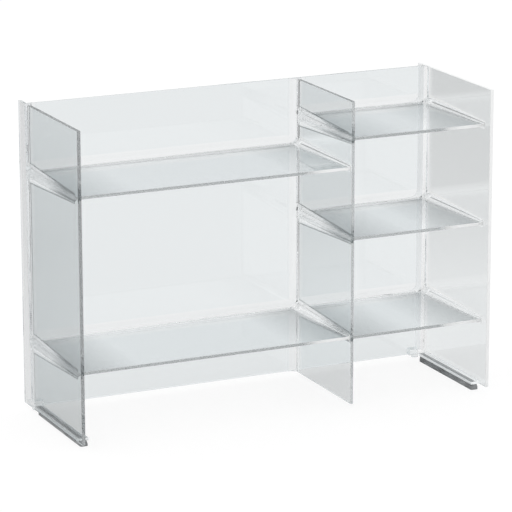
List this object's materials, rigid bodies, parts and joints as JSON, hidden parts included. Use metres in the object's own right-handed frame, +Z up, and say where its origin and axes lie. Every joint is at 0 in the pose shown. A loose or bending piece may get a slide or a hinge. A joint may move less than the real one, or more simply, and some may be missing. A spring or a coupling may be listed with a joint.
{
  "type": "shelving unit",
  "caption": "Low, wide clear acrylic shelving unit: a wide bay with long shelves beside a narrow bay with short ones, closed at the back, on grey foot strips.",
  "frame": {"origin": "on the floor, under the middle of the unit's width and depth", "axes": "+X to the right seen from the front, +Y to the back, +Z up"},
  "size_m": [0.75, 0.26, 0.53],
  "materials": {
    "clear_acrylic": "clear acrylic sheet, polished faces and edges",
    "grey_strip": "grey anti-slip plastic, satin"
  },
  "bodies": {
    "root": {"left_side_panel": "clear_acrylic", "right_side_panel": "clear_acrylic", "back_panel": "clear_acrylic", "centre_divider": "clear_acrylic", "upper_long_shelf": "clear_acrylic", "lower_long_shelf": "clear_acrylic", "top_short_shelf": "clear_acrylic", "middle_short_shelf": "clear_acrylic", "bottom_short_shelf": "clear_acrylic", "left_foot_strip": "grey_strip", "right_foot_strip": "grey_strip", "left_rear_foot": "clear_acrylic", "right_rear_foot": "clear_acrylic"}
  },
  "joints": []
}
